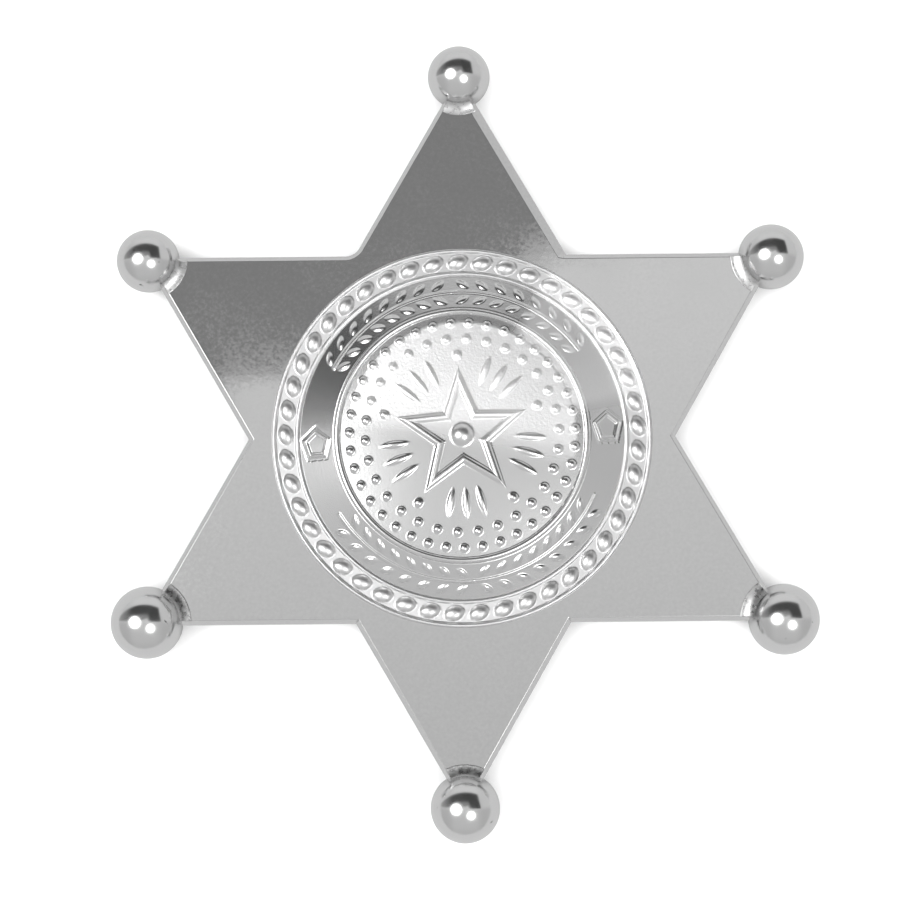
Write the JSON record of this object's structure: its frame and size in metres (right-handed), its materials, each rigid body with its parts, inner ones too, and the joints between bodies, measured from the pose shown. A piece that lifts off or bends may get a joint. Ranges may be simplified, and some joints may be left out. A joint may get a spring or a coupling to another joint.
{
  "type": "sheriff star badge",
  "caption": "Flat metal star badge with a ball on each point and a struck round seal in the middle, worn on clothing by the pin on its back",
  "frame": {"origin": "under the middle of the star, on the surface that the balls rest on", "axes": "+X to the right of the face, +Y towards the top point, +Z out of the face"},
  "size_m": [0.0668, 0.0761, 0.0072],
  "materials": {
    "plate": "nickel plate over cast metal, polished by hand, faintly uneven",
    "seal": "nickel plate over struck relief, polished",
    "ball": "nickel plate, polished, with small specks and scratches",
    "pin": "nickel plated wire and strip, satin"
  },
  "bodies": {
    "root": {"star_plate": "plate", "seal": "seal", "ball_top": "ball", "ball_upper_left": "ball", "ball_upper_right": "ball", "ball_lower_left": "ball", "ball_lower_right": "ball", "ball_bottom": "ball", "pin_clasp": "pin"}
  },
  "joints": []
}
